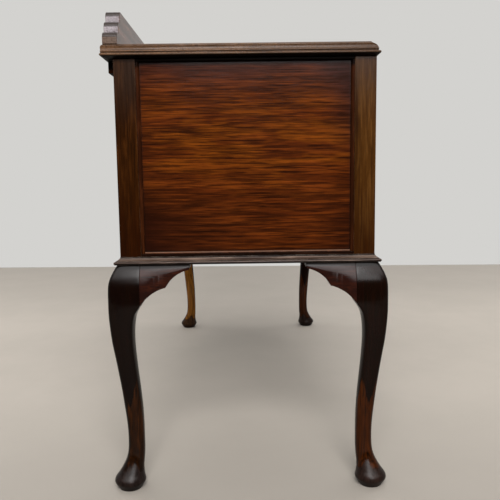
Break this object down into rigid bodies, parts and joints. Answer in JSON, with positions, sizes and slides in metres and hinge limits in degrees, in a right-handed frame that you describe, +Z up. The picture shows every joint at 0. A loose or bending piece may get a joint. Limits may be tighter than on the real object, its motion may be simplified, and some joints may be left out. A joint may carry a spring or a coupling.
{
  "type": "writing table",
  "caption": "Pedestal writing table on cabriole legs with pad feet, drawers either side of a kneehole, moulded top with leather, and a low gallery with stepped ends",
  "frame": {"origin": "on the floor, under the middle of the table", "axes": "+X along the table's length to the sitter's right, +Y to the back and the gallery, +Z up"},
  "size_m": [1.2276, 0.4866, 0.83],
  "materials": {
    "mahogany_top": "old French polish, worn lighter on the moulded edges",
    "mahogany_panel": "red-brown mahogany with fine dark streaks, French polished",
    "mahogany_frame": "darker brown mahogany, French polished",
    "dark_bead": "near-black polished beading",
    "worn_moulding": "rubbed brown moulding with pale worn arrises",
    "dark_leg": "dark glossy polish over mahogany",
    "bracket_wood": "red-brown mahogany, French polished",
    "drawer_face": "figured mahogany, French polished",
    "drawer_lining": "plain oiled oak and pine",
    "brass": "old lacquered brass, dulled",
    "leather": "dark green skiver with a fine gilt line",
    "steel": "plain steel wood screws"
  },
  "bodies": {
    "carcase": {"table_top": "mahogany_top", "gallery": "mahogany_top", "left_end_panel": "mahogany_panel", "right_end_panel": "mahogany_panel", "back_panels": "mahogany_panel", "left_partition": "mahogany_panel", "right_partition": "mahogany_panel", "front_left_post": "mahogany_frame", "front_right_post": "mahogany_frame", "back_left_post": "mahogany_frame", "back_right_post": "mahogany_frame", "left_end_rails": "mahogany_frame", "right_end_rails": "mahogany_frame", "front_top_rail": "mahogany_frame", "back_rails": "mahogany_frame", "inner_stiles": "mahogany_frame", "divider_rails": "mahogany_frame", "kneehole_rail": "mahogany_frame", "bottom_front_rails": "mahogany_frame", "left_panel_beads": "dark_bead", "right_panel_beads": "dark_bead", "back_batten": "dark_bead", "left_end_moulding": "worn_moulding", "right_end_moulding": "worn_moulding", "left_pedestal_moulding": "worn_moulding", "right_pedestal_moulding": "worn_moulding", "front_left_leg": "dark_leg", "front_right_leg": "dark_leg", "back_left_leg": "dark_leg", "back_right_leg": "dark_leg", "left_knee_brackets": "bracket_wood", "right_knee_brackets": "bracket_wood", "kneehole_brackets": "bracket_wood", "drawer_runners": "drawer_lining", "drawer_guides": "drawer_lining", "pedestal_bottoms": "drawer_lining", "glue_blocks": "drawer_lining", "leather_inset": "leather", "top_screws": "steel"},
    "upper_left_drawer": {"upper_left_front": "drawer_face", "upper_left_box": "drawer_lining", "upper_left_fittings": "brass"},
    "lower_left_drawer": {"lower_left_front": "drawer_face", "lower_left_box": "drawer_lining", "lower_left_fittings": "brass"},
    "centre_drawer": {"centre_front": "drawer_face", "centre_box": "drawer_lining", "centre_fittings": "brass"},
    "upper_right_drawer": {"upper_right_front": "drawer_face", "upper_right_box": "drawer_lining", "upper_right_fittings": "brass"},
    "lower_right_drawer": {"lower_right_front": "drawer_face", "lower_right_box": "drawer_lining", "lower_right_fittings": "brass"},
    "upper_left_bail": {"upper_left_bail": "brass"},
    "lower_left_bail": {"lower_left_bail": "brass"},
    "centre_left_bail": {"centre_left_bail": "brass"},
    "centre_right_bail": {"centre_right_bail": "brass"},
    "upper_right_bail": {"upper_right_bail": "brass"},
    "lower_right_bail": {"lower_right_bail": "brass"}
  },
  "joints": [
    {"name": "upper_left_slide", "type": "slide", "parent": "carcase", "child": "upper_left_drawer", "axis": [0, -1, 0], "range_m": [0, 0.3]},
    {"name": "lower_left_slide", "type": "slide", "parent": "carcase", "child": "lower_left_drawer", "axis": [0, -1, 0], "range_m": [0, 0.3]},
    {"name": "centre_slide", "type": "slide", "parent": "carcase", "child": "centre_drawer", "axis": [0, -1, 0], "range_m": [0, 0.3]},
    {"name": "upper_right_slide", "type": "slide", "parent": "carcase", "child": "upper_right_drawer", "axis": [0, -1, 0], "range_m": [0, 0.3]},
    {"name": "lower_right_slide", "type": "slide", "parent": "carcase", "child": "lower_right_drawer", "axis": [0, -1, 0], "range_m": [0, 0.3]},
    {"name": "upper_left_bail_hinge", "type": "hinge", "parent": "upper_left_drawer", "child": "upper_left_bail", "pos_m": [-0.431, -0.23, 0.689], "axis": [-1, 0, 0], "range_deg": [0, 95]},
    {"name": "lower_left_bail_hinge", "type": "hinge", "parent": "lower_left_drawer", "child": "lower_left_bail", "pos_m": [-0.431, -0.23, 0.5275], "axis": [-1, 0, 0], "range_deg": [0, 95]},
    {"name": "centre_left_bail_hinge", "type": "hinge", "parent": "centre_drawer", "child": "centre_left_bail", "pos_m": [-0.15, -0.23, 0.689], "axis": [-1, 0, 0], "range_deg": [0, 95]},
    {"name": "centre_right_bail_hinge", "type": "hinge", "parent": "centre_drawer", "child": "centre_right_bail", "pos_m": [0.15, -0.23, 0.689], "axis": [-1, 0, 0], "range_deg": [0, 95]},
    {"name": "upper_right_bail_hinge", "type": "hinge", "parent": "upper_right_drawer", "child": "upper_right_bail", "pos_m": [0.431, -0.23, 0.689], "axis": [-1, 0, 0], "range_deg": [0, 95]},
    {"name": "lower_right_bail_hinge", "type": "hinge", "parent": "lower_right_drawer", "child": "lower_right_bail", "pos_m": [0.431, -0.23, 0.5275], "axis": [-1, 0, 0], "range_deg": [0, 95]}
  ]
}
